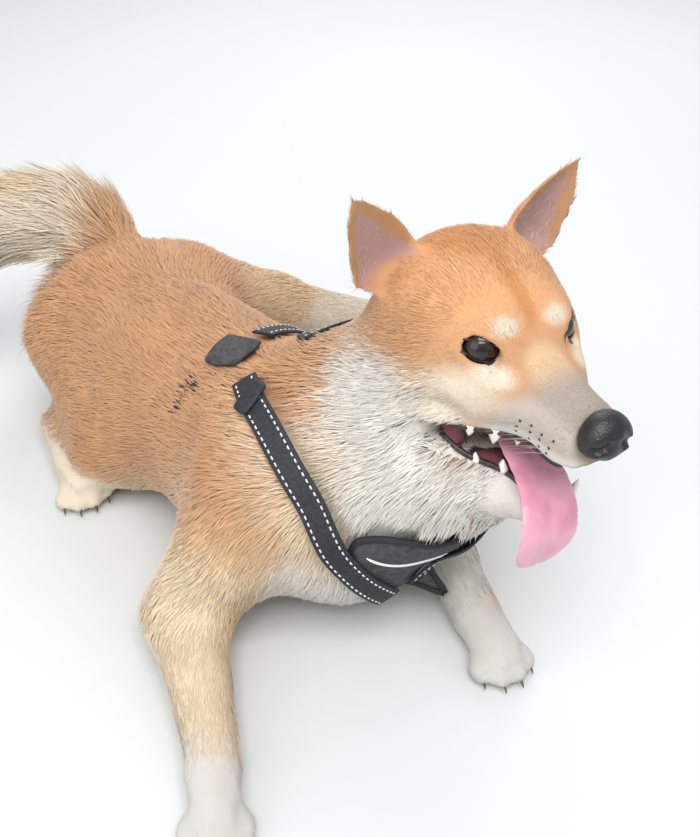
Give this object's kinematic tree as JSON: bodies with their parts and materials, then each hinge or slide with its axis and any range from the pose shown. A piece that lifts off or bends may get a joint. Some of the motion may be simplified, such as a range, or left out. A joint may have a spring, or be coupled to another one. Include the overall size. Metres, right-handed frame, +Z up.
{
  "type": "shiba inu",
  "caption": "life-size shiba inu lying on its belly with forelegs stretched out, one hind leg out to the side, mouth open, tongue out, tail curled over, in a walking harness",
  "frame": {"origin": "on the floor under the chest, where the belly rests", "axes": "+X the way the chest points, +Y the dog's left, +Z up"},
  "size_m": [0.6932, 0.5433, 0.3498],
  "materials": {
    "coat_tan": "dense tan coat, hairs lying to the rear",
    "coat_cream": "cream coat of muzzle, neck and tail end",
    "coat_white": "white coat of lower jaw and paws",
    "nose_leather": "moist black, finely pebbled",
    "eye": "dark brown, wet and glossy",
    "tongue": "moist pink",
    "webbing": "black woven webbing with two rows of pale stitching",
    "padding": "dark grey padded mesh with black binding and pale piping"
  },
  "bodies": {
    "root": {"head": "coat_tan", "muzzle": "coat_cream", "lower_jaw": "coat_white", "nose": "nose_leather", "tongue": "tongue", "eye_right": "eye", "eye_left": "eye", "ear_right": "coat_tan", "ear_left": "coat_tan", "neck": "coat_cream", "chest": "coat_tan", "loin": "coat_tan", "rump": "coat_tan", "forepaw_right": "coat_white", "foreleg_right": "coat_tan", "forepaw_left": "coat_white", "foreleg_left": "coat_tan", "hindpaw_right": "coat_white", "thigh_right": "coat_tan", "hindpaw_left": "coat_white", "shank_left": "coat_cream", "thigh_left": "coat_tan", "strap_right": "webbing", "strap_left": "webbing", "girth_right": "webbing", "girth_left": "webbing", "chest_plate": "padding", "back_pad": "padding", "adjuster": "webbing", "tail_root": "coat_tan", "tail_middle": "coat_tan", "tail_end": "coat_cream"}
  },
  "joints": []
}
